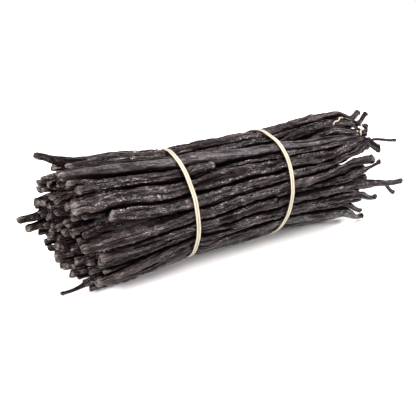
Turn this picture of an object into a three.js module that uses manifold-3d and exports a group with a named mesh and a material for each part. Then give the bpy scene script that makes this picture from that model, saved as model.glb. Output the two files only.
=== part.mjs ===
// A bundle of cured vanilla pods, lying on its side and held by two flat ties of split fibre.
//
// The bundle runs along X, with the blossom ends at -X and the thin hooked stem ends at +X.
// Its waist is round where the ties hold it, and it opens a little towards both ends.
// Round the bundle, a side of 0 degrees faces -Y, 90 is the top and 180 faces +Y.
// A level of 1 puts a pod's outer face on the bundle's surface, and 0 on its middle line.
// Millimetres, +Z up. The origin is under the middle of the whole bundle, on the table.

import * as THREE from 'three';
import { mergeVertices } from 'three/addons/utils/BufferGeometryUtils.js';
import Module from 'manifold-3d';

// The bundle
const WAIST_RADIUS = 26.5;
const FLARE = 2.9;
const NEAR_FLARE_LENGTH = 32;
const FAR_FLARE_LENGTH = 60;
const NEAR_TIE_X = -27.5;
const FAR_TIE_X = 23;
// The lowest pods are pressed flat by this much where the bundle lies on the table
const RESTING_FLAT = 0.5;
const AXIS_HEIGHT = WAIST_RADIUS + FLARE - RESTING_FLAT;
const TABLE_SIZE = [300, 100, 20];

// The pods. One that comes near the surface has a ring of its skin close on either side of a tie.
const BODY_RINGS = [NEAR_TIE_X - 3, NEAR_TIE_X + 3, FAR_TIE_X - 3, FAR_TIE_X + 3];
const NEAR_SURFACE = 0.86;
const RING_GAP = 4;
const POD_FLATNESS = 0.74;
// How many sides a pod's section has, from its level at the near tie up
const SIDES = [[1, 6], [0.9, 5], [0, 4]];
const BLOSSOM_TAPER = [[0, 0.7], [6, 0.82], [13, 1]];
const STEM_TAPER = [[0, 0.54], [8, 0.5], [12, 0.8], [17, 1]];
const NEEDLE_TAPER = [[0, 0.2], [19, 0.28], [25, 0.62], [33, 1]];
const LONG_TAPER = [[0, 0.44], [13, 0.54], [24, 0.7], [34, 0.88], [44, 1]];
const TAPERS = { blossom: BLOSSOM_TAPER, stem: STEM_TAPER, needle: NEEDLE_TAPER, long: LONG_TAPER };
const NEAR_HOOK_LENGTH = 26;
const FAR_HOOK_LENGTH = 10;
const FAR_TIP = 73;
const INNER_FAR_TIP = 44;
// The near tips lie about on one plane, which is further back at the front than behind
const NEAR_FACE_TILT = 5.2;
// The rings of pods that aren't drawn one by one. At the top and the underside their near tips stop
// short by the rim drop. The blunt share of each ring is blunt at both ends.
const OUTER_PODS = [
  {
    count: 11, firstSide: -70, pitch: 16.5, width: 6.9,
    level: 1, nearTip: -80.6, rimDrop: 5, farTip: FAR_TIP - 4, blunt: 0.1,
  },
];
const INNER_RINGS = [
  {
    count: 13, firstSide: -61.75, pitch: 16.5, width: 6.2,
    level: 0.8, nearTip: -82.6, rimDrop: 0, farTip: FAR_TIP, blunt: 0.3,
  },
  {
    count: 14, firstSide: 14, pitch: 25.7, width: 5.8,
    level: 0.61, nearTip: -83, rimDrop: 0, farTip: FAR_TIP + 3, blunt: 0.6,
  },
  {
    count: 9, firstSide: 40, pitch: 40, width: 5.8,
    level: 0.4, nearTip: -83.5, rimDrop: 0, farTip: INNER_FAR_TIP, blunt: 0,
  },
  {
    count: 4, firstSide: 0, pitch: 90, width: 5.6,
    level: 0.18, nearTip: -84, rimDrop: 0, farTip: INNER_FAR_TIP, blunt: 0,
  },
];
// How unevenly the pods of a ring lie: lengths in mm, sides in degrees, levels as shares
const SPREAD = { nearTip: 1.8, farTip: 7, nearSide: 5, farSide: 7, tieSide: 1.5, level: 0.03, width: 0.9 };
const HOOK_SPREAD = [1.5, 2.5];
const SEED = 1907;
const SEED_FACTOR = 16807;
const SEED_RANGE = 2147483647;

// The core that the pods are fused on
const CORE_DEPTH = 3.6;
const CORE_NEAR_END = -66;
const CORE_FAR_END = 66;
const CORE_END_TAPER = 14;
const CORE_END_SIZE = 0.72;
const CORE_SIDES = 16;
const CORE_STEPS = 6;

// The ties: two strands side by side
const TIE_GAP = 0.32;
const TIE_WIDTH = 2;
const TIE_THICKNESS = 0.65;
const GROOVE_DEPTH = 0.15;
const GROOVE_WIDTH = 0.35;
const TIE_STEPS = 48;
const TIE_SIDES = 8;
// How far each tie leans along the bundle, per mm of y and per mm of height
const TIE_LEAN = { near: [0.03, -0.03], far: [-0.035, 0.106] };

// Two bits of thread lie over the stem ends at the top. Each runs through [x, side] places.
const THREAD_DIAMETER = 0.9;
const THREAD_CLEARANCE = 0.35;
const THREAD_STEPS = 10;
const THREAD_SIDES = 6;
const UPPER_THREAD = [[61.5, 70], [65.5, 73.5], [69, 76.5], [71, 78]];
const LOWER_THREAD = [[72.5, 50], [74, 53], [76, 57], [77.5, 62]];

// Corners of a skin closer than this are one corner
const SAME_POINT = 1e-4;

const degrees = THREE.MathUtils.degToRad;

let seed = SEED;
function draw(spread) {
  seed = (seed * SEED_FACTOR) % SEED_RANGE;
  return ((seed / SEED_RANGE) * 2 - 1) * spread;
}

function ease(t) {
  const u = THREE.MathUtils.clamp(t, 0, 1);
  return u * u * (3 - 2 * u);
}

function bundleRadius(x) {
  const near = ease((NEAR_TIE_X - x) / NEAR_FLARE_LENGTH);
  const far = ease((x - FAR_TIE_X) / FAR_FLARE_LENGTH);
  return WAIST_RADIUS + FLARE * (near + far);
}

// A pod runs through stations from its near tip to its far tip, with one at each tie it passes.
// Each station is [x, side, level]. The hooks are how far the near and far tips bend away
// from the bundle's axis, or towards it if negative. The ends name their tapers.
// A pod that is tucked behind others at the near tie has fewer sides.
const NEAR = NEAR_TIE_X;
const FAR = FAR_TIE_X;
function pod(stations, width, hooks, ends = 'blossom-stem') {
  const levelAtNearTie = stations[1][2];
  const sides = SIDES.find(([level]) => levelAtNearTie >= level)[1];
  return { stations, width, hooks, ends, sides };
}

const SHOWN_PODS = [
  pod(
    [
      [-76, 96, 1], [NEAR, 92, 1], [FAR, 95, 1],
      [62, 90, 1.08], [71, 88.5, 1.08], [79, 80, 0.98], [87, 87, 0.96],
    ],
    6.6, [0, 2],
  ),
  pod([[-87, 112, 1], [NEAR, 109, 1], [FAR, 110, 1], [66, 112, 0.87]], 6.4, [7.2, 0]),
  pod(
    [[-84.5, 103, 0.86], [NEAR, 84, 0.9], [FAR, 80, 0.96], [60, 85, 1], [72, 79, 1], [81, 59, 1]],
    5.4, [0, 0],
  ),
  pod(
    [
      [-83.5, 94, 0.74], [NEAR, 78, 0.8], [FAR, 71, 0.9], [45, 74, 1],
      [66, 77, 1], [78, 68, 0.98], [88.5, 78, 0.94],
    ],
    6.2, [0, 3],
  ),
  pod(
    [[-83.5, 90, 0.6], [NEAR, 70, 0.8], [FAR, 74, 0.8], [62, 76, 0.97], [70, 69, 1], [79, 55, 0.95]],
    5.6, [0, 0],
  ),
  pod(
    [[-85.7, 130, 0.72], [NEAR, 82, 0.8], [FAR, 84, 0.8], [60, 78, 0.88], [76, 60, 0.93]],
    5.4, [0, 0], 'blossom-blossom',
  ),
  pod(
    [[-82.5, 82, 1], [NEAR, 73, 1], [FAR, 62, 1], [48, 55, 1], [77, 50, 0.98]],
    8, [0, 0],
  ),
  pod([[-79, 57, 1], [NEAR, 56, 0.98], [-12, 58, 0.97]], 6.2, [0, 0], 'blossom-blossom'),
  pod(
    [[-81.5, 69, 0.94], [NEAR, 57, 0.8], [FAR, 50, 0.99], [56, 48, 1], [76, 49, 0.98], [82, 61, 0.98]],
    5.8, [0, 1],
  ),
  pod(
    [[-83, 84, 0.82], [NEAR, 65, 0.84], [FAR, 68, 0.8], [45, 66, 0.92], [61, 64, 1], [78, 51, 1]],
    6, [0, 0],
  ),
  pod([[-83, 41, 1], [NEAR, 39, 1], [FAR, 41, 1], [50, 39, 1], [74, 48, 1], [83, 33, 1]], 8.8, [0, 0]),
  pod(
    [[-80.8, 52, 0.8], [NEAR, 47, 0.8], [FAR, 46, 0.8], [78, 48, 0.94]],
    5.6, [0, 0], 'blossom-blossom',
  ),
  pod([[-79, 33, 0.88], [NEAR, 31, 0.82], [FAR, 34, 0.86], [59, 36, 0.95], [79, 43, 0.98]], 5.2, [0, 0]),
  pod(
    [[-69, 26, 1], [NEAR, 23, 1], [FAR, 26, 1], [48, 30, 1], [64, 34, 1], [78, 43, 1], [95, 37, 1]],
    7.4, [0, 0], 'blossom-needle',
  ),
  pod(
    [[-81.8, 14, 0.5], [NEAR, 17, 0.8], [FAR, 22, 0.8], [56, 16, 0.9], [74, 14, 0.88]],
    6.2, [0, 0], 'blossom-blossom',
  ),
  pod(
    [[-81.4, 42, 0.56], [NEAR, 27, 0.8], [FAR, 30, 0.82], [60, 29, 0.93], [69, 32, 0.95], [81, 43, 0.93]],
    5.6, [0, 0],
  ),
  pod(
    [[-83, 6, 1], [NEAR, 9, 1], [FAR, 16, 1], [42, 18, 1], [63, 25, 1], [78, 21, 0.99]],
    7.2, [0, 0], 'blossom-blossom',
  ),
  pod([[-76, -6, 1], [NEAR, -5, 1], [16, 3, 0.99]], 6.4, [0, 0], 'blossom-blossom'),
  pod(
    [[-78.7, -20, 0.78], [NEAR, 4, 0.8], [FAR, 9, 0.97], [56, 10, 1], [67, 14, 1], [81, 17, 1]],
    5.2, [0, 0],
  ),
  pod(
    [[-80.5, -40, 0.6], [NEAR, -4, 0.8], [FAR, -1, 0.99], [60, 1.5, 1], [97, -8, 1.02]],
    7.2, [0, 0], 'blossom-long',
  ),
  pod(
    [[-80.5, 2, 0.54], [NEAR, 10, 0.8], [FAR, 4, 0.8], [64, 6, 0.86], [75, 1, 0.86]],
    6.2, [0, 0], 'blossom-blossom',
  ),
  pod(
    [[-78.3, -33, 0.86], [NEAR, -20, 0.8], [FAR, -6, 0.8], [84, -8, 0.93], [94.5, -23, 0.95]],
    4.8, [0, 2.5],
  ),
  pod([[-75, -22, 0.9], [NEAR, -14, 0.96], [FAR, -16, 1], [66, -16, 1], [84, -28, 0.97]], 7, [0, 0]),
  pod(
    [[-80, -54, 0.75], [NEAR, -12, 0.8], [FAR, -13, 0.8], [62, -9, 0.88], [72, -14, 0.88]],
    6, [0, 0], 'blossom-blossom',
  ),
  pod([[-76, -42, 1], [NEAR, -22, 0.98], [FAR, -25, 0.92], [62, -31, 0.95], [77, -45, 1]], 6, [0, 1.5]),
  pod(
    [[-70, -56, 1], [NEAR, -31, 0.97], [FAR, -35, 0.85], [60, -30, 0.92], [73, -27, 0.96]],
    5.4, [0, 0], 'blossom-blossom',
  ),
  pod([[-72, -36, 0.88], [NEAR, -38, 1], [FAR, -33, 1], [60, -41, 1.02], [82, -56, 1.12]], 7, [0, 0]),
  pod([[-71, -50, 1], [NEAR, -54, 1], [FAR, -50, 1], [72, -64, 1]], 7, [0, 0]),
  pod(
    [[-90, -53, 0.95], [NEAR, -46, 0.8], [FAR, -46, 0.8], [70, -50, 0.8]],
    5.6, [0, 0], 'stem-blossom',
  ),
  pod([[-97, 178, 0.62], [NEAR, 168, 0.8], [FAR, 168, 0.8], [74, 168, 0.8]], 6.2, [0, 0]),
  pod([[-93, 193, 0.7], [NEAR, 187, 0.8], [FAR, 187, 0.8], [70, 185, 0.8]], 6, [0, 0]),
];

function ringOfPods(ring) {
  const pods = [];
  for (let i = 0; i < ring.count; i++) {
    const side = ring.firstSide - ring.pitch * i;
    const tilt = NEAR_FACE_TILT * ring.level * Math.cos(degrees(side));
    const drop = ring.rimDrop * Math.abs(Math.sin(degrees(side)));
    const near = [
      ring.nearTip + tilt + drop + draw(SPREAD.nearTip),
      side + draw(SPREAD.nearSide),
      ring.level * (1 + draw(SPREAD.level)),
    ];
    const far = [
      ring.farTip + draw(SPREAD.farTip),
      side + draw(SPREAD.farSide),
      ring.level * (1 + draw(SPREAD.level)),
    ];
    const tieSide = side + draw(SPREAD.tieSide);
    const ties = [NEAR, FAR].map((x) => [x, tieSide, ring.level]);
    const width = ring.width + draw(SPREAD.width);
    const hooks = HOOK_SPREAD.map(draw);
    const ends = Math.abs(draw(1)) < ring.blunt ? 'blossom-blossom' : 'blossom-stem';
    pods.push(pod([near, ...ties, far], width, hooks, ends));
  }
  return pods;
}

// One value, side or level, at x: it eases from each station to the next
function along(stations, index, x) {
  let i = 0;
  while (i < stations.length - 2 && x > stations[i + 1][0]) i++;
  const [from, to] = [stations[i], stations[i + 1]];
  return THREE.MathUtils.lerp(from[index], to[index], ease((x - from[0]) / (to[0] - from[0])));
}

function taper(table, distance) {
  let i = 0;
  while (i < table.length - 2 && distance > table[i + 1][0]) i++;
  const [from, to] = [table[i], table[i + 1]];
  const t = THREE.MathUtils.clamp((distance - from[0]) / (to[0] - from[0]), 0, 1);
  return THREE.MathUtils.lerp(from[1], to[1], t);
}

function endsOf(pod) {
  const [nearTaper, farTaper] = pod.ends.split('-').map((end) => TAPERS[end]);
  return { nearTip: pod.stations[0][0], farTip: pod.stations.at(-1)[0], nearTaper, farTaper };
}

function halfWidth(pod, x) {
  const { nearTip, farTip, nearTaper, farTaper } = endsOf(pod);
  return (pod.width / 2) * Math.min(taper(nearTaper, x - nearTip), taper(farTaper, farTip - x));
}

// A point of the pod's skin: turn runs round its oval section, whose flat side faces the axis
function skinPoint(pod, x, turn, size) {
  const side = degrees(along(pod.stations, 1, x));
  const across = halfWidth(pod, x) * size;
  const thick = halfWidth(pod, x) * POD_FLATNESS;
  const { nearTip, farTip } = endsOf(pod);
  const nearBend = pod.hooks[0] * Math.max(0, 1 - (x - nearTip) / NEAR_HOOK_LENGTH) ** 2;
  const farBend = pod.hooks[1] * Math.max(0, 1 - (farTip - x) / FAR_HOOK_LENGTH) ** 2;
  const middle = along(pod.stations, 2, x) * bundleRadius(x) - thick + nearBend + farBend;
  const out = middle + thick * size * Math.cos(turn);
  const off = -across * Math.sin(turn);
  return new THREE.Vector3(
    x,
    -out * Math.cos(side) + off * Math.sin(side),
    AXIS_HEIGHT + out * Math.sin(side) + off * Math.cos(side),
  );
}

// Where the rings of a pod's skin stand: close together at its shaped ends
function ringPlaces(pod) {
  const { nearTip, farTip, nearTaper, farTaper } = endsOf(pod);
  const nearEnd = nearTaper.map(([distance]) => nearTip + distance);
  const farEnd = farTaper.map(([distance]) => farTip - distance).reverse();
  const [start, end] = [nearEnd.at(-1), farEnd[0]];
  const outermost = Math.max(...pod.stations.map(([, , level]) => level));
  const rings = outermost > NEAR_SURFACE ? BODY_RINGS : [];
  const body = rings.filter((x) => x > start + RING_GAP && x < end - RING_GAP);
  return [...nearEnd, ...body, ...farEnd];
}

function podGeometry(pod, places) {
  const geometry = new THREE.CylinderGeometry(1, 1, 1, pod.sides, places.length - 1);
  const position = geometry.attributes.position;
  for (let i = 0; i < position.count; i++) {
    const ring = Math.round((position.getY(i) + 0.5) * (places.length - 1));
    const turn = Math.atan2(position.getX(i), position.getZ(i));
    const size = Math.hypot(position.getX(i), position.getZ(i));
    const point = skinPoint(pod, places[ring], turn, size);
    position.setXYZ(i, point.x, point.y, point.z);
  }
  return geometry;
}

function coreGeometry() {
  const profile = [new THREE.Vector2(0, CORE_NEAR_END)];
  for (let i = 0; i <= CORE_STEPS; i++) {
    const x = THREE.MathUtils.lerp(CORE_NEAR_END, CORE_FAR_END, i / CORE_STEPS);
    const end = Math.min(x - CORE_NEAR_END, CORE_FAR_END - x) / CORE_END_TAPER;
    const rounding = CORE_END_SIZE + (1 - CORE_END_SIZE) * ease(end);
    profile.push(new THREE.Vector2((bundleRadius(x) - CORE_DEPTH) * rounding, x));
  }
  profile.push(new THREE.Vector2(0, CORE_FAR_END));
  const geometry = new THREE.LatheGeometry(profile, CORE_SIDES);
  geometry.rotateZ(-Math.PI / 2);
  geometry.translate(0, 0, AXIS_HEIGHT);
  return geometry;
}

const wasm = await Module();
wasm.setup();

function solidOf(geometry) {
  const bare = geometry.clone();
  bare.deleteAttribute('normal');
  bare.deleteAttribute('uv');
  const merged = mergeVertices(bare, SAME_POINT);
  return new wasm.Manifold(new wasm.Mesh({
    numProp: 3,
    vertProperties: new Float32Array(merged.attributes.position.array),
    triVerts: new Uint32Array(merged.index.array),
  }));
}

function geometryOf(solid) {
  const mesh = solid.getMesh();
  const geometry = new THREE.BufferGeometry();
  geometry.setAttribute('position', new THREE.BufferAttribute(mesh.vertProperties, 3));
  geometry.setIndex(new THREE.BufferAttribute(mesh.triVerts, 1));
  return geometry;
}

// Every pod is fused on the core, and the table's top cuts the lowest ones flat
function podsGeometry() {
  let solid = solidOf(coreGeometry());
  const pods = [...SHOWN_PODS, ...OUTER_PODS.flatMap(ringOfPods), ...INNER_RINGS.flatMap(ringOfPods)];
  for (const one of pods) {
    solid = solid.add(solidOf(podGeometry(one, ringPlaces(one))));
  }
  const table = new THREE.BoxGeometry(...TABLE_SIZE);
  table.translate(0, 0, -TABLE_SIZE[2] / 2);
  const resting = solid.subtract(solidOf(table));
  const bodies = resting.decompose().sort((a, b) => b.volume() - a.volume());
  return geometryOf(bodies[0]);
}

// The tie's section has a shallow groove outside, between its two strands
function tieGeometry(x, lean) {
  const middle = WAIST_RADIUS + TIE_GAP + TIE_THICKNESS / 2;
  const geometry = new THREE.TorusGeometry(middle, 1, TIE_SIDES, TIE_STEPS);
  const position = geometry.attributes.position;
  for (let i = 0; i < position.count; i++) {
    const round = Math.atan2(position.getY(i), position.getX(i));
    const lift = Math.hypot(position.getX(i), position.getY(i)) - middle;
    const across = (TIE_WIDTH / 2) * position.getZ(i);
    const groove = lift > 0 ? GROOVE_DEPTH * Math.exp(-((across / GROOVE_WIDTH) ** 2)) : 0;
    const out = middle + (TIE_THICKNESS / 2) * lift - groove;
    const y = out * Math.cos(round);
    const height = out * Math.sin(round);
    const shift = lean[0] * y + lean[1] * height;
    position.setXYZ(i, x + shift + across, y, AXIS_HEIGHT + height);
  }
  return geometry;
}

function threadGeometry(places) {
  const radius = THREAD_DIAMETER / 2;
  const points = places.map(([x, side]) => {
    const out = bundleRadius(x) + THREAD_CLEARANCE + radius;
    const turn = degrees(side);
    return new THREE.Vector3(x, -out * Math.cos(turn), AXIS_HEIGHT + out * Math.sin(turn));
  });
  const section = new THREE.Shape();
  for (let i = 0; i < THREAD_SIDES; i++) {
    const turn = (i / THREAD_SIDES) * 2 * Math.PI;
    const corner = [radius * Math.cos(turn), radius * Math.sin(turn)];
    if (i === 0) section.moveTo(...corner);
    else section.lineTo(...corner);
  }
  const extrudePath = new THREE.CatmullRomCurve3(points);
  return new THREE.ExtrudeGeometry(section, { steps: THREAD_STEPS, extrudePath });
}

function mesh(name, geometry, color, roughness) {
  const material = new THREE.MeshStandardMaterial({ color, roughness, metalness: 0 });
  const part = new THREE.Mesh(geometry, material);
  part.name = name;
  return part;
}

const bundle = new THREE.Group();
bundle.add(
  mesh('pods', podsGeometry(), 0x3b3432, 0.5),
  mesh('tie_near', tieGeometry(NEAR_TIE_X, TIE_LEAN.near), 0xeadecc, 0.85),
  mesh('tie_far', tieGeometry(FAR_TIE_X, TIE_LEAN.far), 0xeadecc, 0.85),
  mesh('tip_thread_upper', threadGeometry(UPPER_THREAD), 0xe8dcc6, 0.85),
  mesh('tip_thread_lower', threadGeometry(LOWER_THREAD), 0xe8dcc6, 0.85),
);

const box = new THREE.Box3().setFromObject(bundle);
const middle = box.getCenter(new THREE.Vector3());
for (const piece of bundle.children) {
  piece.geometry.translate(-middle.x, -middle.y, -box.min.z);
}

export default bundle;
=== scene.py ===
import math

import bpy
import numpy as np
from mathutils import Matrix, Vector


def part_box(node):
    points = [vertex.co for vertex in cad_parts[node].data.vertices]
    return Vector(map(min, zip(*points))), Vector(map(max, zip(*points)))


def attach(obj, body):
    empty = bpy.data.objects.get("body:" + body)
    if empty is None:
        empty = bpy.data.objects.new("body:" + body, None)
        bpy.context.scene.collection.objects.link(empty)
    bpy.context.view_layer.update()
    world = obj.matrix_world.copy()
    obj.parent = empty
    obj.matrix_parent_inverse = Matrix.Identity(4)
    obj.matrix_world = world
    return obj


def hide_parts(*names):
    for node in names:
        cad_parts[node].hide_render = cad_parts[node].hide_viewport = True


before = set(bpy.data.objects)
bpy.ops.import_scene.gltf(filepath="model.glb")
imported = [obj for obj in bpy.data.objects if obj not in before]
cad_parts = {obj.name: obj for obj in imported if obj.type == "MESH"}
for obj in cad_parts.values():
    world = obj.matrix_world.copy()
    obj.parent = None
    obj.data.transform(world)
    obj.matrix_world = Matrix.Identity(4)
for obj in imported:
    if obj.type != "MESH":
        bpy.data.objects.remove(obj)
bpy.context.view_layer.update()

# The bundle is about eighty cured vanilla pods, laid side by side with their blossom ends at -X and
# their stems at +X. Two ties press it round, and it opens a little towards both ends.
# Sizes are in mm. A side is an angle round the bundle: 0 faces -Y, 90 is the top, 180 faces +Y.
MM = 0.001
WAIST_RADIUS = 26.5
FLARE = 2.9
SWELL = 0.8
NEAR_FLARE_LENGTH = 32
FAR_FLARE_LENGTH = 60


def middle_of(node):
    low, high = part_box(node)
    return [(a + b) / 2 / MM for a, b in zip(low, high)]


NEAR_TIE_X, AXIS_Y, AXIS_Z = middle_of("tie_near")
FAR_TIE_X = middle_of("tie_far")[0]
TIE_LEAN = {"near": (0.03, -0.03), "far": (-0.035, 0.106)}


def ease(t):
    u = np.clip(t, 0, 1)
    return u * u * (3 - 2 * u)


def flare(x):
    near = ease((NEAR_TIE_X - x) / NEAR_FLARE_LENGTH)
    far = ease((x - FAR_TIE_X) / FAR_FLARE_LENGTH)
    return near + far


def bundle_radius(x):
    return WAIST_RADIUS + FLARE * flare(x)


def wander(rng, place, step):
    """A smooth random line along a pod, from -1 to 1, with a new draw every step mm"""
    first = place.min()
    knots = rng.uniform(-1, 1, int((place.max() - first) / step) + 3)
    t = (place - first) / step
    i = np.floor(t).astype(int)
    return knots[i] + (knots[i + 1] - knots[i]) * ease(t - i)


# Each pod runs through stations from its near tip to its far tip, with one at each tie it passes.
# A station is [x, side, level], and level 1 puts the pod's outer face on the bundle's surface. The
# hooks are how far its tips bend outwards. It tapers to a blunt end, a thin stem or a needle.
NEAR = NEAR_TIE_X
FAR = FAR_TIE_X
POD_FLATNESS = 0.74
TAPERS = {
    "blossom": ([0, 1.2, 4, 8, 13], [0.84, 0.82, 0.7, 0.88, 1]),
    "stem": ([0, 3, 8, 12, 17], [0.6, 0.49, 0.5, 0.8, 1]),
    "needle": ([0, 19, 25, 33], [0.22, 0.28, 0.62, 1]),
    "long": ([0, 13, 24, 34, 44], [0.48, 0.54, 0.7, 0.88, 1]),
}
NEAR_HOOK_LENGTH = 26
FAR_HOOK_LENGTH = 10
STRAY_LENGTH = 13
STRAY_DEFAULT = 0.4
OUTER_LEVEL = 0.9
SAMPLES = np.arange(-100, 100.01, 0.5)

# Between the ties a pod is uneven: how much it changes, and the length from one change to the next
TIE_GRIP = 9
LUMPS, LUMP_PITCH = 0.13, 13
FLATTENING, FLATTENING_PITCH = 0.12, 24
WEAVE_DEGREES, WEAVE_PITCH = 2, 31
RISE, RISE_PITCH = 0.35, 27
SWELL_START = 1.5
SWELL_LENGTH = 4.5
SWELL_LEVEL = 0.85
SWELL_LEVEL_RANGE = 0.1
LINE_SEED = 100


def near_tip_fade(pod, x, length):
    """1 at a pod's near tip, falling to 0 at this length from it, and a little over 1 before it"""
    return np.clip(1 - (x - pod.near_tip) / length, 0, 1.2) ** 2


class Pod:
    """One pod, with the line and the thickness that it has at each of the samples"""

    count = 0

    def __init__(
        self, stations, width, hooks, ends="blossom-stem",
        stray=STRAY_DEFAULT, wrinkled=1, tone=None,
    ):
        self.stations = stations
        self.stray = stray
        self.wrinkled = wrinkled
        self.tone = tone
        self.near_tip = stations[0][0]
        self.far_tip = stations[-1][0]
        self.width = width
        self.hooks = hooks
        self.ends = ends.split("-")
        self.shown = stations[1][2] > OUTER_LEVEL
        Pod.count += 1
        self.number = Pod.count
        self.lay()

    def along(self, index, x):
        """The side or the level at x, eased from station to station"""
        stops = np.array([station[0] for station in self.stations])
        values = np.array([station[index] for station in self.stations])
        i = np.clip(np.searchsorted(stops, x) - 1, 0, len(stops) - 2)
        t = ease((x - stops[i]) / (stops[i + 1] - stops[i]))
        return values[i] + (values[i + 1] - values[i]) * t

    def half_width(self, x):
        near = np.interp(x - self.near_tip, *TAPERS[self.ends[0]])
        far = np.interp(self.far_tip - x, *TAPERS[self.ends[1]])
        return self.width / 2 * np.minimum(near, far)

    def lay(self):
        """Works out the pod's middle line, which is uneven away from the ties"""
        rng = np.random.default_rng(LINE_SEED + self.number)
        x = SAMPLES
        held = [np.exp(-(((x - tie_x) / TIE_GRIP) ** 2)) for tie_x in (NEAR_TIE_X, FAR_TIE_X)]
        loose = 1 - held[0] - held[1]
        lumps = 1 + LUMPS * wander(rng, x, LUMP_PITCH) * loose
        self.half = np.convolve(np.pad(self.half_width(x), 3, "edge"), np.ones(7) / 7, "valid") * lumps
        self.flat = POD_FLATNESS * (1 + FLATTENING * wander(rng, x, FLATTENING_PITCH))
        side = np.radians(self.along(1, x) + WEAVE_DEGREES * loose * wander(rng, x, WEAVE_PITCH))
        level = self.along(2, x)
        near_bend = self.hooks[0] * near_tip_fade(self, x, NEAR_HOOK_LENGTH)
        far_bend = self.hooks[1] * np.clip(1 - (self.far_tip - x) / FAR_HOOK_LENGTH, 0, 1.2) ** 2
        out = level * bundle_radius(x) - self.half * POD_FLATNESS + near_bend + far_bend
        out = out + RISE * loose * wander(rng, x, RISE_PITCH)
        beside = np.minimum(np.abs(x - NEAR_TIE_X), np.abs(x - FAR_TIE_X))
        swell = SWELL * ease((beside - SWELL_START) / SWELL_LENGTH) * (1 - flare(x))
        out = out + swell * ease((level - SWELL_LEVEL) / SWELL_LEVEL_RANGE)
        bent = near_tip_fade(self, x, STRAY_LENGTH)
        out = out + self.stray * rng.uniform(-1, 1) * bent
        side = side + self.stray * rng.uniform(-1.2, 1.2) * bent / np.maximum(out, 2)
        self.side = side
        self.line = np.stack([x, AXIS_Y - out * np.cos(side), AXIS_Z + out * np.sin(side)], axis=1)
        there = (x >= self.near_tip) & (x <= self.far_tip)
        self.size = np.where(there, self.half * np.sqrt(self.flat), 0)


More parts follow.
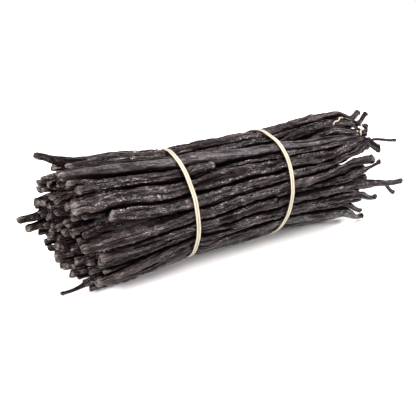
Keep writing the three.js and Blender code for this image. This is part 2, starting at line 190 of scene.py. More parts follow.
pods_shown = [
    Pod(
        [
            [-76, 96, 1], [NEAR, 92, 1], [FAR, 95, 1], [62, 90, 1.08],
            [71, 88.5, 1.08], [79, 80, 0.98], [87, 87, 0.96],
        ],
        7.2, [0, 2],
    ),
    Pod([[-87, 112, 1], [NEAR, 109, 1], [FAR, 110, 1], [66, 112, 0.87]], 6.9, [7.2, 0]),
    Pod(
        [[-84.5, 103, 0.86], [NEAR, 84, 0.9], [FAR, 80, 0.96], [60, 85, 1], [72, 79, 1], [81, 59, 1]],
        5.4, [0, 0],
    ),
    Pod(
        [
            [-83.5, 94, 0.74], [NEAR, 78, 0.8], [FAR, 71, 0.9], [45, 74, 1],
            [66, 77, 1], [78, 68, 0.98], [88.5, 78, 0.94],
        ],
        6.2, [0, 3],
    ),
    Pod(
        [[-83.5, 90, 0.6], [NEAR, 70, 0.8], [FAR, 74, 0.8], [62, 76, 0.97], [70, 69, 1], [79, 55, 0.95]],
        5.6, [0, 0],
    ),
    Pod(
        [[-85.7, 130, 0.72], [NEAR, 82, 0.8], [FAR, 84, 0.8], [60, 78, 0.88], [76, 60, 0.93]],
        5.4, [0, 0], "blossom-blossom",
    ),
    Pod(
        [[-82.5, 82, 1], [NEAR, 73, 1], [FAR, 62, 1], [48, 55, 1], [77, 50, 0.98]],
        8, [0, 0], wrinkled=0.4, tone=1.8,
    ),
    Pod([[-79, 57, 1], [NEAR, 56, 0.98], [-12, 58, 0.97]], 6.2, [0, 0], "blossom-blossom"),
    Pod(
        [[-81.5, 69, 0.94], [NEAR, 57, 0.8], [FAR, 50, 0.99], [56, 48, 1], [76, 49, 0.98], [82, 61, 0.98]],
        5.8, [0, 1],
    ),
    Pod(
        [[-83, 84, 0.82], [NEAR, 65, 0.84], [FAR, 68, 0.8], [45, 66, 0.92], [61, 64, 1], [78, 51, 1]],
        6, [0, 0],
    ),
    Pod(
        [[-83, 41, 1], [NEAR, 39, 1], [FAR, 41, 1], [50, 39, 1], [74, 48, 1], [83, 33, 1]],
        8.8, [0, 0],
    ),
    Pod(
        [[-80.8, 52, 0.8], [NEAR, 47, 0.8], [FAR, 46, 0.8], [78, 48, 0.94]],
        5.6, [0, 0], "blossom-blossom",
    ),
    Pod(
        [[-79, 33, 0.88], [NEAR, 31, 0.82], [FAR, 34, 0.86], [59, 36, 0.95], [79, 43, 0.98]],
        5.2, [0, 0],
    ),
    Pod(
        [[-69, 26, 1], [NEAR, 23, 1], [FAR, 26, 1], [48, 30, 1], [64, 34, 1], [78, 43, 1], [95, 37, 1]],
        7.4, [0, 0], "blossom-needle",
    ),
    Pod(
        [[-81.8, 14, 0.5], [NEAR, 17, 0.8], [FAR, 22, 0.8], [56, 16, 0.9], [74, 14, 0.88]],
        6.2, [0, 0], "blossom-blossom",
    ),
    Pod(
        [
            [-81.4, 42, 0.56], [NEAR, 27, 0.8], [FAR, 30, 0.82],
            [60, 29, 0.93], [69, 32, 0.95], [81, 43, 0.93],
        ],
        5.6, [0, 0],
    ),
    Pod(
        [[-83, 6, 1], [NEAR, 9, 1], [FAR, 16, 1], [42, 18, 1], [63, 25, 1], [78, 21, 0.99]],
        7.2, [0, 0], "blossom-blossom",
    ),
    Pod([[-76, -6, 1], [NEAR, -5, 1], [16, 3, 0.99]], 6.4, [0, 0], "blossom-blossom"),
    Pod(
        [[-78.7, -20, 0.78], [NEAR, 4, 0.8], [FAR, 9, 0.97], [56, 10, 1], [67, 14, 1], [81, 17, 1]],
        5.2, [0, 0],
    ),
    Pod(
        [[-80.5, -40, 0.6], [NEAR, -4, 0.8], [FAR, -1, 0.99], [60, 1.5, 1], [97, -8, 1.02]],
        7.2, [0, 0], "blossom-long",
    ),
    Pod(
        [[-80.5, 2, 0.54], [NEAR, 10, 0.8], [FAR, 4, 0.8], [64, 6, 0.86], [75, 1, 0.86]],
        6.2, [0, 0], "blossom-blossom",
    ),
    Pod(
        [[-78.3, -33, 0.86], [NEAR, -20, 0.8], [FAR, -6, 0.8], [84, -8, 0.93], [94.5, -23, 0.95]],
        4.8, [0, 2.5],
    ),
    Pod([[-75, -22, 0.9], [NEAR, -14, 0.96], [FAR, -16, 1], [66, -16, 1], [84, -28, 0.97]], 7, [0, 0]),
    Pod(
        [[-80, -54, 0.75], [NEAR, -12, 0.8], [FAR, -13, 0.8], [62, -9, 0.88], [72, -14, 0.88]],
        6, [0, 0], "blossom-blossom",
    ),
    Pod([[-76, -42, 1], [NEAR, -22, 0.98], [FAR, -25, 0.92], [62, -31, 0.95], [77, -45, 1]], 6, [0, 1.5]),
    Pod(
        [[-70, -56, 1], [NEAR, -31, 0.97], [FAR, -35, 0.85], [60, -30, 0.92], [73, -27, 0.96]],
        5.4, [0, 0], "blossom-blossom",
    ),
    Pod(
        [[-72, -36, 0.88], [NEAR, -38, 1], [FAR, -33, 1], [60, -41, 1.02], [82, -56, 1.12]],
        7, [0, 0], wrinkled=0.6,
    ),
    Pod([[-71, -50, 1], [NEAR, -54, 1], [FAR, -50, 1], [72, -64, 1]], 7, [0, 0], wrinkled=0.6),
    Pod(
        [[-90, -53, 0.95], [NEAR, -46, 0.8], [FAR, -46, 0.8], [70, -50, 0.8]],
        5.6, [0, 0], "stem-blossom",
    ),
    Pod([[-97, 178, 0.62], [NEAR, 168, 0.8], [FAR, 168, 0.8], [74, 168, 0.8]], 6.2, [0, 0]),
    Pod([[-93, 193, 0.7], [NEAR, 187, 0.8], [FAR, 187, 0.8], [70, 185, 0.8]], 6, [0, 0]),
]

# The pods that aren't drawn one by one lie in rings, each a little uneven: those of the back and
# the underside, and those packed inside, whose blossom ends fill the near end.
FAR_TIP = 73
INNER_FAR_TIP = 82
NEAR_FACE_TILT = 5.2
SPREAD = {
    "near_tip": 1.8,
    "far_tip": 7,
    "near_side": 5,
    "far_side": 7,
    "tie_side": 1.5,
    "level": 0.03,
    "width": 0.9,
}
HOOK_SPREAD = [1.5, 2.5]
RING_STRAY = 1.5
SEED_FACTOR = 16807
SEED_RANGE = 2147483647


def even_draws(seed):
    """One random draw after another, from -1 to 1"""
    while True:
        seed = (seed * SEED_FACTOR) % SEED_RANGE
        yield seed / SEED_RANGE * 2 - 1


draws = even_draws(1907)


def draw(spread):
    return next(draws) * spread


def ring_of_pods(count, first_side, pitch, width, level, near_tip, far_tip, blunt, rim_drop=0):
    """Pods side by side at one level. Of them, the share given by blunt has two blunt ends."""
    pods = []
    for i in range(count):
        side = first_side - pitch * i
        tilt = NEAR_FACE_TILT * level * math.cos(math.radians(side))
        drop = rim_drop * abs(math.sin(math.radians(side)))
        near = [
            near_tip + tilt + drop + draw(SPREAD["near_tip"]),
            side + draw(SPREAD["near_side"]),
            level * (1 + draw(SPREAD["level"])),
        ]
        far = [
            far_tip + draw(SPREAD["far_tip"]),
            side + draw(SPREAD["far_side"]),
            level * (1 + draw(SPREAD["level"])),
        ]
        tie_side = side + draw(SPREAD["tie_side"])
        ties = [[x, tie_side, level] for x in (NEAR, FAR)]
        wide = width + draw(SPREAD["width"])
        hooks = [draw(spread) for spread in HOOK_SPREAD]
        ends = "blossom-blossom" if abs(draw(1)) < blunt else "blossom-stem"
        pods.append(Pod([near, *ties, far], wide, hooks, ends, stray=RING_STRAY))
    return pods


pods_behind = ring_of_pods(11, -70, 16.5, 6.9, 1, -80.6, FAR_TIP - 4, 0.1, rim_drop=5)
pods_inside = ring_of_pods(13, -61.75, 16.5, 6.2, 0.8, -82.6, FAR_TIP, 0.3)
pods_inside += ring_of_pods(14, 14, 25.7, 5.8, 0.61, -83, FAR_TIP + 9, 0.6)
pods_inside += ring_of_pods(9, 40, 40, 5.8, 0.4, -83.5, INNER_FAR_TIP, 0)
pods_inside += ring_of_pods(4, 0, 90, 5.6, 0.18, -84, INNER_FAR_TIP, 0)
all_pods = pods_shown + pods_behind + pods_inside

# A cured pod is a limp, leathery tube. Packed tight, it is pressed flat against its neighbours,
# and its skin has shrunk into ridges and creases that run along it. Under a tie it is pinched.
PRESS_GAP = 0.35
PRESS_SHARPNESS = 12.0
PRESS_REACH = 2.5
SHOWN_PUSH = 1.08
LEAST_THICKNESS = 0.35
NEAR_END_LENGTH = 7
NEAR_END_THICKER = 0.3
NEAR_END_ROUGHER = 0.3
TIE_INNER = WAIST_RADIUS + 0.05
TIE_HALF = 1.0
PINCH_RISE = 1.6
PINCH_LENGTH = 3
PINCH_END = 5
# Creases run along the pod: how many round it, and how deep. Dents: length, number round it, depth.
CREASES = ((4, 0.4), (7, 0.36), (11, 0.32), (17, 0.2))
DENTS = ((2.4, 14, 0.45), (8, 4, 0.4))
HOLLOWS = 2
HOLLOW_DEPTH = 0.55
HOLLOW_WIDTH = 0.32
RELIEF_HEIGHT = 0.52
RELIEF_MIDDLE = 0.3
RELIEF_THICKNESS = 2.4
RIM_WAVE = 0.07
TIP_SLANT = 0.35
NEAR_CAP_LENGTH = 1.3
FAR_CAP_LENGTH = 1.6
SKIN_SEED = 900
# The rings that close a tip: how far each lies from the tip, and its share of the pod's thickness
BLOSSOM_CAP = ((0.6, 0.14), (0.5, 0.34), (0.05, 0.5), (0.16, 0.68), (0.6, 0.87), (1.25, 1.02))
STEM_CAP = ((0.0, 0.4), (0.15, 0.75), (0.6, 1.05), (1.3, 1.12))


def crumple(rng, place, turn, step, cells):
    """Smooth random relief over a pod's skin, from -1 to 1"""
    first = place.min()
    knots = rng.uniform(-1, 1, (int((place.max() - first) / step) + 3, cells))
    t = (place - first) / step
    i = np.floor(t).astype(int)
    u = turn / (2 * math.pi) * cells
    j = np.floor(u).astype(int)
    g = ease(u - j)[None, :]
    j, k = j % cells, (j + 1) % cells
    low = knots[i][:, j] * (1 - g) + knots[i][:, k] * g
    high = knots[i + 1][:, j] * (1 - g) + knots[i + 1][:, k] * g
    f = ease(t - i)[:, None]
    return low * (1 - f) + high * f


def skin_relief(rng, place, turn):
    """How deep the skin lies in its creases, from 0 on the ridges to about -1"""
    warp = 0.9 * crumple(rng, place, turn, 9, 5)
    relief = 0
    for number, depth in CREASES:
        phase = rng.uniform(0, 6.28) + 2.0 * wander(rng, place, 23)
        strength = 0.6 + 0.4 * crumple(rng, place, turn, 11, 6)
        fold = np.abs(np.cos((number * (turn[None, :] + warp / 4) + phase[:, None]) / 2)) - 1
        relief = relief + depth * strength * fold
    for step, cells, depth in DENTS:
        relief = relief + depth * (crumple(rng, place, turn, step, cells) - 1) / 2
    for _ in range(HOLLOWS):
        where = rng.uniform(0, 6.28) + 0.9 * wander(rng, place, 37)
        depth = np.clip(wander(rng, place, 21) + 0.3, 0, 1)
        gap = np.angle(np.exp(1j * (turn[None, :] - where[:, None])))
        relief = relief - HOLLOW_DEPTH * depth[:, None] * np.exp(-((gap / HOLLOW_WIDTH) ** 2))
    return relief


def pod_skin(pod, rows, columns):
    """The points of one pod's skin, its relief, and the places and turns that the points lie at"""
    rng = np.random.default_rng(SKIN_SEED + pod.number)
    u = np.linspace(0, 1, rows)
    length = pod.far_tip - pod.near_tip - NEAR_CAP_LENGTH - FAR_CAP_LENGTH
    body = pod.near_tip + NEAR_CAP_LENGTH + length * (0.8 * u + 0.1 * (1 - np.cos(math.pi * u)))
    near_cap = BLOSSOM_CAP if pod.ends[0] == "blossom" else STEM_CAP
    far_cap = BLOSSOM_CAP if pod.ends[1] == "blossom" else STEM_CAP
    place = [pod.near_tip + inset for inset, _ in near_cap]
    place += list(body)
    place += [pod.far_tip - inset for inset, _ in reversed(far_cap)]
    place = np.array(place)
    share = [s for _, s in near_cap] + [1.0] * rows + [s for _, s in reversed(far_cap)]
    share = np.array(share)

    def at(values):
        return np.interp(place, SAMPLES, values)

    centre = np.stack([at(pod.line[:, axis]) for axis in range(3)], axis=1)
    slope = np.gradient(pod.line, SAMPLES, axis=0)
    ahead = np.stack([at(slope[:, axis]) for axis in range(3)], axis=1)
    ahead /= np.linalg.norm(ahead, axis=1)[:, None]
    side = at(pod.side)
    out = np.stack([np.zeros_like(side), -np.cos(side), np.sin(side)], axis=1)
    out -= ahead * np.sum(out * ahead, axis=1)[:, None]
    out /= np.linalg.norm(out, axis=1)[:, None]
    across = np.cross(ahead, out)

    turn = np.arange(columns) / columns * 2 * math.pi
    half = at(pod.half)
    thick = half * at(pod.flat)
    reach = 1 / np.sqrt((np.cos(turn) / thick[:, None]) ** 2 + (np.sin(turn) / half[:, None]) ** 2)
    way = np.cos(turn)[None, :, None] * out[:, None, :] + np.sin(turn)[None, :, None] * across[:, None, :]
    squeeze = reach**-PRESS_SHARPNESS
    own = at(pod.size) * (SHOWN_PUSH if pod.shown else 1)
    near_end = np.exp(-(((place - pod.near_tip) / NEAR_END_LENGTH) ** 2))
    least = LEAST_THICKNESS + NEAR_END_THICKER * near_end
    for other in all_pods:
        if other is pod:
            continue
        theirs = at(other.size) * (SHOWN_PUSH if other.shown else 1)
        gap_y = at(other.line[:, 1]) - centre[:, 1]
        gap_z = at(other.line[:, 2]) - centre[:, 2]
        distance = np.maximum(np.hypot(gap_y, gap_z), 0.4)
        near_enough = (theirs > 0) & (distance < own + theirs + PRESS_REACH)
        if not near_enough.any():
            continue
        plane = (distance**2 + own**2 - theirs**2) / (2 * distance) - PRESS_GAP
        plane = np.maximum(plane, least * thick)
        facing = (way[:, :, 1] * gap_y[:, None] + way[:, :, 2] * gap_z[:, None]) / distance[:, None]
        limit = plane[:, None] / np.maximum(facing, 0.02)
        push = np.where(near_enough[:, None] & (facing > 0.02), limit**-PRESS_SHARPNESS, 0)
        squeeze = squeeze + push
    squeezed = squeeze ** (-1 / PRESS_SHARPNESS)
    pressed = np.clip(4 * (1 - squeezed / reach), 0, 1)
    reach = squeezed
    relief = skin_relief(rng, place, turn)
    crinkled = pod.wrinkled * (1 + NEAR_END_ROUGHER * near_end)
    crinkled = (crinkled * np.minimum(thick, RELIEF_THICKNESS))[:, None]
    reach = reach + (relief + RELIEF_MIDDLE) * crinkled * RELIEF_HEIGHT
    # Pressed places count as deep creases in the relief mark, where the material paints shade
    relief = relief - pressed
    rim = 1 + RIM_WAVE * np.sin(turn * 3 + rng.uniform(0, 6))[None, :] * (share < 1)[:, None]
    reach = reach * share[:, None] * rim
    points = centre[:, None, :] + reach[:, :, None] * way

    slant = TIP_SLANT * np.cos(turn - rng.uniform(0, 6.28))[None, :] * (place < pod.near_tip + 1.0)[:, None]
    points = points + (slant * reach)[:, :, None] * ahead[:, None, :]

    for tie_x, lean in ((NEAR_TIE_X, TIE_LEAN["near"]), (FAR_TIE_X, TIE_LEAN["far"])):
        shift = lean[0] * (points[:, :, 1] - AXIS_Y) + lean[1] * (points[:, :, 2] - AXIS_Z)
        beside = np.abs(points[:, :, 0] - tie_x - shift)
        allowed = TIE_INNER + PINCH_RISE * ease((beside - TIE_HALF) / PINCH_LENGTH)
        allowed = allowed + 2 * np.maximum(beside - PINCH_END, 0)
        radius = np.hypot(points[:, :, 1] - AXIS_Y, points[:, :, 2] - AXIS_Z)
        pull = np.minimum(1, allowed / np.maximum(radius, 1e-6))
        points[:, :, 1] = AXIS_Y + (points[:, :, 1] - AXIS_Y) * pull
        points[:, :, 2] = AXIS_Z + (points[:, :, 2] - AXIS_Z) * pull
    points[:, :, 2] = np.maximum(points[:, :, 2], 0)
    return points, relief, place, turn


def mesh_object(name, verts, faces, smooth=True):
    """A new object in the scene, with its mesh in metres"""
    mesh = bpy.data.meshes.new(name)
    mesh.from_pydata(verts, [], faces)
    mesh.polygons.foreach_set("use_smooth", [smooth] * len(mesh.polygons))
    made = bpy.data.objects.new(name, mesh)
    bpy.context.scene.collection.objects.link(made)
    return made


def store_vectors(piece, title, values):
    """Gives each point of a piece a vector for its material to read"""
    store = piece.data.attributes.new(title, "FLOAT_VECTOR", "POINT")
    store.data.foreach_set("vector", values.reshape(-1))


# Each pod has a strip of its own in the flat layout of its piece's skin. Its material reads where a
# point lies on the pod as if it were straight, and a mark: the pod's tone, its relief and its scar.
# The relief is lowered where the pod is pressed on its neighbours, and it sets the painted shade.
STRIP_SHARE = np.array([0.04, 0.96])
STRIP_END = 0.004
STRAIGHT_PITCH = 40.0
STRAIGHT_RADIUS = 3.2
SCAR_LENGTH = 2.8
TONE_SEED = 500


def pods_piece(name, pods, rows, columns):
    """One mesh of several whole pods"""
    verts, faces, flat, straight, mark = [], [], [], [], []
    for order, pod in enumerate(pods):
        rng = np.random.default_rng(TONE_SEED + pod.number)
        points, relief, place, turn = pod_skin(pod, rows, columns)
        count = len(place)
        first = sum(len(v) for v in verts)
        ends = [points[0].mean(axis=0), points[-1].mean(axis=0)]
        verts.append(np.concatenate([points.reshape(-1, 3), ends]))
        i, j = np.meshgrid(np.arange(count - 1), np.arange(columns), indexing="ij")
        k = (j + 1) % columns
        here, there = i * columns, (i + 1) * columns
        quads = np.stack([here + j, here + k, there + k, there + j], -1)
        faces += (quads.reshape(-1, 4) + first).tolist()
        u0, u1 = (order + STRIP_SHARE) / len(pods)
        v = STRIP_END + (1 - 2 * STRIP_END) * np.arange(count) / (count - 1)
        du = (u1 - u0) / columns
        corners = [(j, v[i]), (j + 1, v[i]), (j + 1, v[i + 1]), (j, v[i + 1])]
        corners = np.stack([np.stack([u0 + du * a, b], -1) for a, b in corners], -2)
        flat.append(corners.reshape(-1, 2))
        for end, row in ((0, 0), (1, count - 1)):
            tip = first + count * columns + end
            for a in range(columns):
                b = (a + 1) % columns
                loop = [first + row * columns + a, first + row * columns + b]
                loop = loop[::-1] if end == 0 else loop
                faces.append([*loop, tip])
                spot = [[u0 + du * a, v[row]], [u0 + du * (a + 1), v[row]]]
                spot = spot[::-1] if end == 0 else spot
                middle = [u0 + du * (a + 0.5), 0.001 if end == 0 else 0.999]
                flat.append(np.array([*spot, middle]))
        shift = STRAIGHT_PITCH * pod.number
        x = np.repeat(place, columns)
        y = shift + STRAIGHT_RADIUS * np.tile(np.cos(turn), count)
        z = STRAIGHT_RADIUS * np.tile(np.sin(turn), count)
        ends = [[shift, 0, place[0]], [shift, 0, place[-1]]]
        straight.append(np.concatenate([np.stack([y, z, x], -1), ends]))
        tone = rng.uniform(-1, 1) if pod.tone is None else pod.tone
        blossom = np.exp(-((np.maximum(x - pod.near_tip, 0) / SCAR_LENGTH) ** 2))
        if pod.ends[1] == "blossom":
            blossom = blossom + np.exp(-((np.maximum(pod.far_tip - x, 0) / SCAR_LENGTH) ** 2))
        mark_pod = np.stack([np.full_like(x, tone), relief.reshape(-1), blossom], -1)
        mark.append(np.concatenate([mark_pod, [[tone, 0, 1], [tone, 0, 0]]]))
    piece = mesh_object(name, (np.concatenate(verts) * MM).tolist(), faces)
    layout = piece.data.uv_layers.new(name="OFBake")
    layout.data.foreach_set("uv", np.concatenate(flat).reshape(-1))
    store_vectors(piece, "straight", np.concatenate(straight))
    store_vectors(piece, "mark", np.concatenate(mark))
    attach(piece, "root")
    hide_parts("pods")
    return piece


# Rings of points along a pod that shows, and points round it
SHOWN_STEPS = (190, 44)
pod_pieces = [
    pods_piece("pods_top", pods_shown[:8], *SHOWN_STEPS),
    pods_piece("pods_front", pods_shown[8:16], *SHOWN_STEPS),
    pods_piece("pods_middle", pods_shown[16:24], *SHOWN_STEPS),
    pods_piece("pods_low", pods_shown[24:], *SHOWN_STEPS),
    pods_piece("pods_back", pods_behind, 130, 36),
    pods_piece("pods_second_layer", pods_inside[:27], 90, 26),
    pods_piece("pods_innermost", pods_inside[27:], 80, 24),
]


# The pods' skin is nearly black, with a brown cast where it is thin. A grey sheen of oil is painted
# on its ridges and painted shade in its creases, with painted glints strewn over it. Fine striations
# run along it, and its blossom ends show a paler ring of scar.
class Tone:
    """An output of a material's node. Sums on it add Math nodes."""

    def __init__(self, tree, socket):
        self.tree = tree
        self.socket = socket

    def node(self, kind, settings, inputs, output=0):
        """A new node with its settings, and with values or links in its sockets"""
        node = self.tree.nodes.new(kind)
        for key, value in settings.items():
            setattr(node, key, value)
        for key, value in inputs.items():
            if isinstance(value, Tone):
                self.tree.links.new(value.socket, node.inputs[key])
            else:
                node.inputs[key].default_value = value
        return Tone(self.tree, node.outputs[output])

    def sibling(self, output):
        """Another output of the same node"""
        return Tone(self.tree, self.socket.node.outputs[output])

    def maths(self, operation, *values):
        return self.node("ShaderNodeMath", {"operation": operation}, dict(enumerate(values)))

    def __add__(self, other):
        return self.maths("ADD", self, other)

    __radd__ = __add__

    def __sub__(self, other):
        return self.maths("SUBTRACT", self, other)

    def __rsub__(self, other):
        return self.maths("SUBTRACT", other, self)

    def __mul__(self, other):
        return self.maths("MULTIPLY", self, other)

    __rmul__ = __mul__

    def __abs__(self):
        return self.maths("ABSOLUTE", self)

    def clip(self, low, high):
        """0 at low and under, 1 at high and over, and smooth between"""
        settings = {"interpolation_type": "SMOOTHSTEP"}
        return self.node("ShaderNodeMapRange", settings, {0: self, 1: low, 2: high})

    def times(self, vector):
        """This vector times another"""
        return self.node("ShaderNodeVectorMath", {"operation": "MULTIPLY"}, {0: self, 1: vector})

    def noise(self, scale, detail=3.0, rough=0.55):
        """Noise at this vector"""
        inputs = {"Vector": self, "Scale": scale, "Detail": detail, "Roughness": rough}
        return self.node("ShaderNodeTexNoise", {}, inputs)

    def mix(self, color_a, color_b):
        """From one colour to another as this goes from 0 to 1"""
        settings = {"data_type": "RGBA"}
        return self.node("ShaderNodeMix", settings, {0: self, 6: color_a, 7: color_b}, 2)


def rgb(*values):
    return (*values, 1.0)


def finish_of(name, constants):
    """A new material's shader, with its constant values, and a Tone to build on"""
    material = bpy.data.materials.new(name)
    material.use_nodes = True
    shader = material.node_tree.nodes["Principled BSDF"]
    for key, value in constants.items():
        shader.inputs[key].default_value = value
    return material, shader, Tone(material.node_tree, None)


def feed(shader, inputs):
    """Links what changes over a surface to the shader's sockets"""
    for key, value in inputs.items():
        value.tree.links.new(value.socket, shader.inputs[key])


SKIN_CONSTANTS = {"IOR": 1.45, "Specular Tint": rgb(1, 0.93, 0.98)}
BLACK = rgb(0.0022, 0.001, 0.001)
GREY_BLACK = rgb(0.032, 0.023, 0.022)
BROWN = rgb(0.034, 0.014, 0.007)
SMOOTH_GREY = rgb(0.02, 0.0185, 0.02)
PAINTED_GLINT = rgb(0.22, 0.2, 0.195)
SCAR_COLOR = rgb(0.165, 0.138, 0.123)
PAINTED_SHADE_BLACK = rgb(0.003, 0.0012, 0.0012)
vanilla, shader, start = finish_of("cured_vanilla_skin", SKIN_CONSTANTS)
skin = start.node("ShaderNodeAttribute", {"attribute_name": "straight"}, {}, 1)
mark = start.node("ShaderNodeAttribute", {"attribute_name": "mark"}, {}, 1)
tone = start.node("ShaderNodeSeparateXYZ", {}, {0: mark})
relief = tone.sibling(1)
blossom = tone.sibling(2)
streaks = skin.times((1, 1, 0.16)).noise(1.05, 1, 0.5)
flecks = skin.times((1, 1, 0.38)).noise(1.25, 1, 0.5)
pits = skin.times((1, 1, 0.45)).noise(0.75, 2, 0.6)
patches = skin.times((1, 1, 0.3)).noise(0.2, 2)
# ridges is 1 on the skin's ridges and 0 in its creases: it sets the painted shade in the creases, the
# painted sheen on the ridges, and where the painted glints gather
ridges = relief.clip(-1.2, -0.1)
smooth = tone.clip(1.1, 1.7)
brown = (patches + 0.06 * tone - smooth).clip(0.5, 0.62)
wrinkled = 0.4 * streaks + 0.35 * flecks + 0.25 * pits
# The skin's grain and tone, painted darker in the creases and lighter grey on the ridges: painted shade and
# painted sheen. The brown patches below are the skin's own colour and are kept out of the painted shade of
# the creases.
grain_and_painted_crease_shade = wrinkled.clip(0.4, 0.62) * (0.25 + 0.75 * ridges) + 0.08 * tone + 0.3 * smooth
color = grain_and_painted_crease_shade.mix(BLACK, GREY_BLACK)
color = (0.75 * brown * ridges).mix(color, BROWN)
# Painted glints: pale flecks of highlight painted into the colour, most of them on the ridges
painted_glints = flecks.clip(0.55, 0.68) * (pits + 0.3 * ridges).clip(0.62, 0.82) * (1 - 0.7 * smooth)
color = (0.7 * smooth).mix(color, SMOOTH_GREY)
color = (0.7 * painted_glints).mix(color, PAINTED_GLINT)
scar = blossom.clip(0.2, 0.9) * (0.35 + 0.65 * flecks.clip(0.35, 0.6))
color = ((0.75 + 0.2 * tone) * scar).mix(color, SCAR_COLOR)
rough = 0.29 + 0.25 * brown + 0.04 * tone - 0.1 * flecks + 0.14 * smooth
height = (0.5 * streaks + 0.8 * flecks + 0.6 * pits) * (1 - 0.5 * smooth)
bump = start.node("ShaderNodeBump", {}, {"Strength": 1.0, "Distance": 0.0016, "Height": height})
feed(shader, {"Base Color": color, "Roughness": rough, "Normal": bump})

# Where pods touch and in its deepest creases, a black, dull shader is mixed into the skin as painted shade
painted_shade_constants = {"Base Color": PAINTED_SHADE_BLACK, "Roughness": 1, "Specular IOR Level": 0.05}
painted_shade = start.node("ShaderNodeBsdfPrincipled", {}, painted_shade_constants)
open_skin = Tone(start.tree, shader.outputs[0])
painted_shade_amount = 1 - relief.clip(-1.35, -0.35)
surface = start.node("ShaderNodeMixShader", {}, {0: painted_shade_amount, 1: open_skin, 2: painted_shade})
feed(start.tree.nodes["Material Output"], {"Surface": surface})
for piece in pod_pieces:
    piece.data.materials.append(vanilla)

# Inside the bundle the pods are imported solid. A dark fluted core fills the middle of it, so that
# no light comes through between the pods around it.
CORE_SHARE = 0.63
CORE_NEAR_END = -72
CORE_FAR_END = 54
CORE_FLUTES = 13
CORE_FLUTE_DEPTH = 0.07
CORE_ROWS = 60
CORE_COLUMNS = 120
core_verts = []
for i in range(1, CORE_ROWS):
    t = i / CORE_ROWS
    x = CORE_NEAR_END + (CORE_FAR_END - CORE_NEAR_END) * t
    end = math.sqrt(1 - (2 * t - 1) ** 12)
    for j in range(CORE_COLUMNS):
        turn = j / CORE_COLUMNS * 2 * math.pi
        bulge = abs(math.cos(CORE_FLUTES / 2 * turn + 0.4 * math.sin(x / 23)))
        flute = 1 - CORE_FLUTE_DEPTH + CORE_FLUTE_DEPTH * bulge
        r = float(bundle_radius(x)) * CORE_SHARE * end * flute
        core_verts.append([x * MM, (AXIS_Y - r * math.cos(turn)) * MM, (AXIS_Z + r * math.sin(turn)) * MM])
core_tips = len(core_verts)
core_verts += [[x * MM, AXIS_Y * MM, AXIS_Z * MM] for x in (CORE_NEAR_END, CORE_FAR_END)]
core_faces = []
for j in range(CORE_COLUMNS):
    k = (j + 1) % CORE_COLUMNS
    for i in range(CORE_ROWS - 2):
        a, b = i * CORE_COLUMNS, (i + 1) * CORE_COLUMNS
        core_faces.append([a + j, b + j, b + k, a + k])
    core_faces += [[core_tips, j, k], [core_tips + 1, b + k, b + j]]
core = mesh_object("pods_core", core_verts, core_faces, smooth=False)
core_finish, shader, start = finish_of("packed_pod_dark", {"Roughness": 0.6})
place = start.node("ShaderNodeTexCoord", {}, {}, 3)
dark = place.times((80, 900, 900)).noise(1.0).mix(rgb(0.006, 0.005, 0.005), rgb(0.014, 0.011, 0.01))
feed(shader, {"Base Color": dark})
core.data.materials.append(core_finish)
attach(core, "root")
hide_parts("pods")

# Each tie is a strip of dried palm leaf, split lengthways into two flat strands that lie side by
# side and go once round the bundle. It is pulled tight, so that the pods swell beside it.
TIE_WIDTH = 2.05
TIE_THICKNESS = 0.5
TIE_GAP = 0.2
TIE_SQUARENESS = 0.6
GROOVE_DEPTH = 0.34
GROOVE_WIDTH = 0.13
FIBRE_DEPTH = 0.035
TIE_STEPS = 360
TIE_SECTION = 28
TIE_SEED = 70
# Where a tie dips between two pods: the side, and how deep
NEAR_TIE_DIPS = [(108, 0.6)]
FAR_TIE_DIPS = [(78, 0.7)]
DIP_WIDTH = 12


def squared(value):
    """A rounded sine or cosine, for a section with flat faces"""
    return math.copysign(abs(value) ** TIE_SQUARENESS, value)


def tie_piece(name, node, tie_x, lean, number, dips):
    rng = np.random.default_rng(TIE_SEED + number)
    round_tie = np.arange(TIE_STEPS) / TIE_STEPS * 2 * math.pi
    sway = 0.14 * np.sin(round_tie * 3 + rng.uniform(0, 6))
    sway += 0.07 * np.sin(round_tie * 11 + rng.uniform(0, 6))
    strand_shift = 0.05 * np.sin(round_tie * 7 + rng.uniform(0, 6))
    lift = 0.06 * np.sin(round_tie * 5 + rng.uniform(0, 6)) + 0.04 * np.sin(round_tie * 17)
    for side, depth in dips:
        lift -= depth * np.exp(-(((np.degrees(round_tie) - side) / DIP_WIDTH) ** 2))
    section = np.arange(TIE_SECTION) / TIE_SECTION * 2 * math.pi
    verts = []
    for i, a in enumerate(round_tie):
        for b in section:
            across = squared(math.cos(b)) * TIE_WIDTH / 2
            high = squared(math.sin(b)) * TIE_THICKNESS / 2
            out = WAIST_RADIUS + TIE_GAP + TIE_THICKNESS / 2 + high + lift[i]
            if high > 0:
                out -= GROOVE_DEPTH * math.exp(-(((across - strand_shift[i]) / GROOVE_WIDTH) ** 2))
                out += FIBRE_DEPTH * math.sin(across * 17 + 2 * math.sin(a * 9))
            y = -out * math.cos(a)
            z = out * math.sin(a)
            x = tie_x + lean[0] * y + lean[1] * z + across + sway[i]
            verts.append([x * MM, (AXIS_Y + y) * MM, (AXIS_Z + z) * MM])
    faces = []
    corners = []
    for i in range(TIE_STEPS):
        a, b = i * TIE_SECTION, (i + 1) % TIE_STEPS * TIE_SECTION
        for j in range(TIE_SECTION):
            k = (j + 1) % TIE_SECTION
            faces.append([a + j, b + j, b + k, a + k])
            for row, column in ((i, j), (i + 1, j), (i + 1, j + 1), (i, j + 1)):
                corners += [0.01 + 0.98 * row / TIE_STEPS, 0.01 + 0.98 * column / TIE_SECTION]
    piece = mesh_object(name, verts, faces)
    piece.data.uv_layers.new(name="OFBake").data.foreach_set("uv", corners)
    strands = np.zeros((TIE_STEPS, TIE_SECTION, 3))
    strands[:, :, 0] = (20 * np.cos(round_tie))[:, None]
    strands[:, :, 1] = (20 * np.sin(round_tie))[:, None]
    strands[:, :, 2] = (np.cos(section) * TIE_WIDTH / 2)[None, :]
    store_vectors(piece, "strands", strands)
    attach(piece, "root")
    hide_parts(node)
    return piece


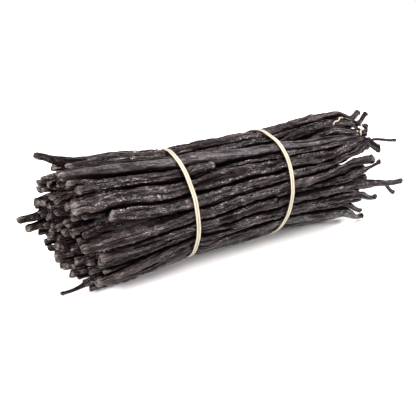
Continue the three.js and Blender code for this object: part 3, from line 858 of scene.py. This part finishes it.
near_tie = tie_piece("leaf_tie_near", "tie_near", NEAR_TIE_X, TIE_LEAN["near"], 1, NEAR_TIE_DIPS)
far_tie = tie_piece("leaf_tie_far", "tie_far", FAR_TIE_X, TIE_LEAN["far"], 2, FAR_TIE_DIPS)
leaf, shader, start = finish_of("dried_palm_leaf", {"IOR": 1.4})
strands = start.node("ShaderNodeAttribute", {"attribute_name": "strands"}, {}, 1)
fibres = strands.times((0.12, 0.12, 5)).noise(1.0, 3)
blotch = strands.times((0.5, 0.5, 0.8)).noise(0.5, 2)
# The tie is painted darker in the groove between its two strands and along its edges, where it meets the
# pods: painted shade
off_middle = abs(start.node("ShaderNodeSeparateXYZ", {}, {0: strands}, 2))
painted_groove_shade = 1 - off_middle.clip(0.02, 0.24)
edge = off_middle.clip(0.86, 1.02)
color = fibres.clip(0.3, 0.7).mix(rgb(0.32, 0.288, 0.218), rgb(0.455, 0.417, 0.343))
color = (0.5 * blotch.clip(0.45, 0.7)).mix(color, rgb(0.37, 0.325, 0.25))
color = (0.75 * painted_groove_shade + 0.6 * edge).mix(color, rgb(0.12, 0.085, 0.05))
bump = start.node("ShaderNodeBump", {}, {"Strength": 0.5, "Distance": 0.0002, "Height": fibres})
feed(shader, {"Base Color": color, "Roughness": 0.55 + 0.25 * fibres, "Normal": bump})
for piece in (near_tie, far_tie):
    piece.data.materials.append(leaf)

# Two short bits of pale thread are caught over the stems at the top. Each lies pressed on the
# pods under it, through [x, side] places, and is spun of a few fine fibres.
THREAD_DIAMETER = 0.9
THREAD_CLEARANCE = 0.05
THREAD_WAVE_DEGREES = 0.9
THREAD_PLY = 0.13
THREAD_BEND = 13
THREAD_ROWS = 60
THREAD_SECTION = 14
THREADS = {
    "tip_thread_upper": [[61.5, 70], [65.5, 73.5], [69, 76.5], [71, 78]],
    "tip_thread_lower": [[72.5, 50], [74, 53], [76, 57], [77.5, 62]],
}
cotton, shader, start = finish_of("pale_thread", {"IOR": 1.4})
place = start.node("ShaderNodeTexCoord", {}, {}, 3)
strand = place.noise(2600, 2)
color = strand.clip(0.35, 0.65).mix(rgb(0.24, 0.2, 0.15), rgb(0.42, 0.37, 0.3))
bump = start.node("ShaderNodeBump", {}, {"Strength": 0.5, "Distance": 0.0002, "Height": strand})
feed(shader, {"Base Color": color, "Roughness": 0.6 + 0.2 * strand, "Normal": bump})
for node, places in THREADS.items():
    t = np.linspace(0, len(places) - 1, THREAD_ROWS)
    knots = np.arange(len(places))
    x = np.interp(t, knots, [p[0] for p in places])
    side = np.radians(np.interp(t, knots, [p[1] for p in places]))
    kernel = np.ones(THREAD_BEND) / THREAD_BEND
    x = np.convolve(np.pad(x, THREAD_BEND // 2, "edge"), kernel, "valid")
    side = np.convolve(np.pad(side, THREAD_BEND // 2, "edge"), kernel, "valid")
    side = side + np.radians(THREAD_WAVE_DEGREES) * np.sin(4.3 * t + x[0])
    out = bundle_radius(x) + THREAD_CLEARANCE + THREAD_DIAMETER / 2
    line = np.stack([x, AXIS_Y - out * np.cos(side), AXIS_Z + out * np.sin(side)], 1)
    ahead = np.gradient(line, axis=0)
    ahead /= np.linalg.norm(ahead, axis=1)[:, None]
    up = np.stack([np.zeros_like(side), -np.cos(side), np.sin(side)], 1)
    across = np.cross(ahead, up)
    verts = []
    for i in range(THREAD_ROWS):
        end = math.sqrt(max(0.05, 1 - (2 * i / (THREAD_ROWS - 1) - 1) ** 16))
        thin = 0.85 + 0.15 * math.sin(0.31 * i + 2)
        for j in range(THREAD_SECTION):
            b = j / THREAD_SECTION * 2 * math.pi
            ply = 1 + THREAD_PLY * math.cos(3 * b + i * 0.8)
            r = THREAD_DIAMETER / 2 * ply * end * thin
            point = line[i] + r * (math.cos(b) * up[i] + math.sin(b) * across[i])
            verts.append((point * MM).tolist())
    last = (THREAD_ROWS - 1) * THREAD_SECTION
    faces = [list(reversed(range(THREAD_SECTION))), [last + j for j in range(THREAD_SECTION)]]
    for i in range(THREAD_ROWS - 1):
        a, b = i * THREAD_SECTION, (i + 1) * THREAD_SECTION
        for j in range(THREAD_SECTION):
            k = (j + 1) % THREAD_SECTION
            faces.append([a + j, a + k, b + k, b + j])
    piece = mesh_object(node.replace("tip_", "spun_"), verts, faces)
    piece.data.materials.append(cotton)
    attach(piece, "root")
    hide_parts(node)

# The bundle lies on a plain white table, in the light of large soft lamps.
FLOOR_SIZE = 1
edge = FLOOR_SIZE / 2
floor_corners = [[-edge, -edge, 0], [edge, -edge, 0], [edge, edge, 0], [-edge, edge, 0]]
floor = mesh_object("floor", floor_corners, [[0, 1, 2, 3]], smooth=False)
white = finish_of("white_table", {"Roughness": 0.9, "Base Color": rgb(0.86, 0.86, 0.86)})[0]
floor.data.materials.append(white)

# The studio around it is white to look at, but nearly all of the light is the lamps'
SKY_LIGHT = 0.02
world = bpy.data.worlds.new("studio")
bpy.context.scene.world = world
world.use_nodes = True
sky = world.node_tree.nodes["Background"]
sky.inputs["Color"].default_value = rgb(1, 1, 1)
seen = Tone(world.node_tree, None).node("ShaderNodeLightPath", {}, {})
feed(sky, {"Strength": seen + SKY_LIGHT})

LAMP_COLOR = (1, 0.966, 0.958)
LIT_POINT = Vector((0, 0, 0.03))


def soft_light(name, place, size, power):
    data = bpy.data.lights.new(name, "AREA")
    data.shape = "RECTANGLE"
    data.size, data.size_y = size
    data.energy = power
    data.color = LAMP_COLOR
    lamp = bpy.data.objects.new(name, data)
    lamp.location = place
    lamp.rotation_mode = "QUATERNION"
    lamp.rotation_quaternion = (LIT_POINT - Vector(place)).to_track_quat("-Z", "Y")
    bpy.context.scene.collection.objects.link(lamp)


soft_light("lamp_above", (0.42, 0.05, 0.8), (0.35, 0.25), 15)
soft_light("lamp_front", (0.45, -0.75, 0.4), (0.3, 0.3), 6.5)
soft_light("lamp_left", (-0.75, -0.35, 0.5), (0.4, 0.3), 22)

# The camera looks down on the bundle from its near end and front side
CAMERA_AZIMUTH = math.radians(-31.06)
CAMERA_ELEVATION = math.radians(24.31)
CAMERA_DISTANCE = 307.93
CAMERA_TARGET = (-13.81, AXIS_Y - 11.01, AXIS_Z + 0.9)
camera_data = bpy.data.cameras.new("camera")
camera_data.lens = 56.25
camera_data.sensor_width = 36
camera = bpy.data.objects.new("camera", camera_data)
back = Vector((
    math.sin(CAMERA_AZIMUTH) * math.cos(CAMERA_ELEVATION),
    -math.cos(CAMERA_AZIMUTH) * math.cos(CAMERA_ELEVATION),
    math.sin(CAMERA_ELEVATION),
))
camera.location = (Vector(CAMERA_TARGET) + back * CAMERA_DISTANCE) * MM
camera.rotation_mode = "QUATERNION"
camera.rotation_quaternion = (-back).to_track_quat("-Z", "Y")
camera_data.clip_start = 0.01
camera_data.clip_end = 20
bpy.context.scene.collection.objects.link(camera)
bpy.context.scene.camera = camera
bpy.context.scene.view_settings.view_transform = "Standard"
